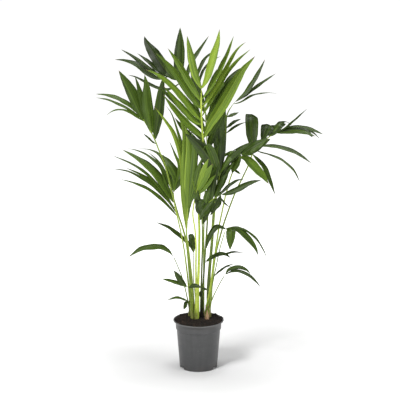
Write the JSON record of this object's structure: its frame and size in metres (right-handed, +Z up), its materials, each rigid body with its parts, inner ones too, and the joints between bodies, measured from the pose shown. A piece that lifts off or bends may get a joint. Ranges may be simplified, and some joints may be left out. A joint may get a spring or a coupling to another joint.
{
  "type": "potted palm",
  "caption": "Clump of young feather palms with arching fronds, growing in a tapered nursery pot with a lipped rim and a notched foot",
  "frame": {"origin": "middle of the boss under the pot floor, on the plane the pot rests on", "axes": "+Z up along the pot's axis, -Y the front of the plant, +X to the right seen from the front"},
  "size_m": [0.8101, 0.4918, 1.2686],
  "materials": {
    "pot": "satin moulded plastic",
    "soil": "rough damp compost",
    "stem": "fibrous leaf sheath",
    "leaf_bright": "waxy green blade",
    "leaf_mid": "waxy green blade",
    "leaf_dark": "waxy dark green blade"
  },
  "bodies": {
    "root": {"pot": "pot", "soil": "soil", "stem_left_rear": "stem", "stem_left": "stem", "stem_middle": "stem", "stem_dark": "stem", "stem_tan": "stem", "stem_right_rear": "stem", "frond_crown": "leaf_bright", "frond_crown_rear": "leaf_mid", "frond_back": "leaf_dark", "frond_left": "leaf_mid", "frond_right_high": "leaf_dark", "frond_right_arching": "leaf_dark", "frond_right_low": "leaf_mid", "frond_cross": "leaf_dark", "frond_left_narrow": "leaf_mid", "frond_centre_tall": "leaf_bright", "frond_centre_dark": "leaf_dark", "frond_centre_small": "leaf_bright", "leaf_left_arch": "leaf_dark", "leaf_left_mid": "leaf_dark", "leaf_left_low": "leaf_dark", "leaf_left_bottom": "leaf_dark", "leaf_right_arch": "leaf_dark", "leaf_right_mid": "leaf_dark", "leaf_right_spike": "leaf_dark", "leaf_right_low": "leaf_dark"}
  },
  "joints": []
}
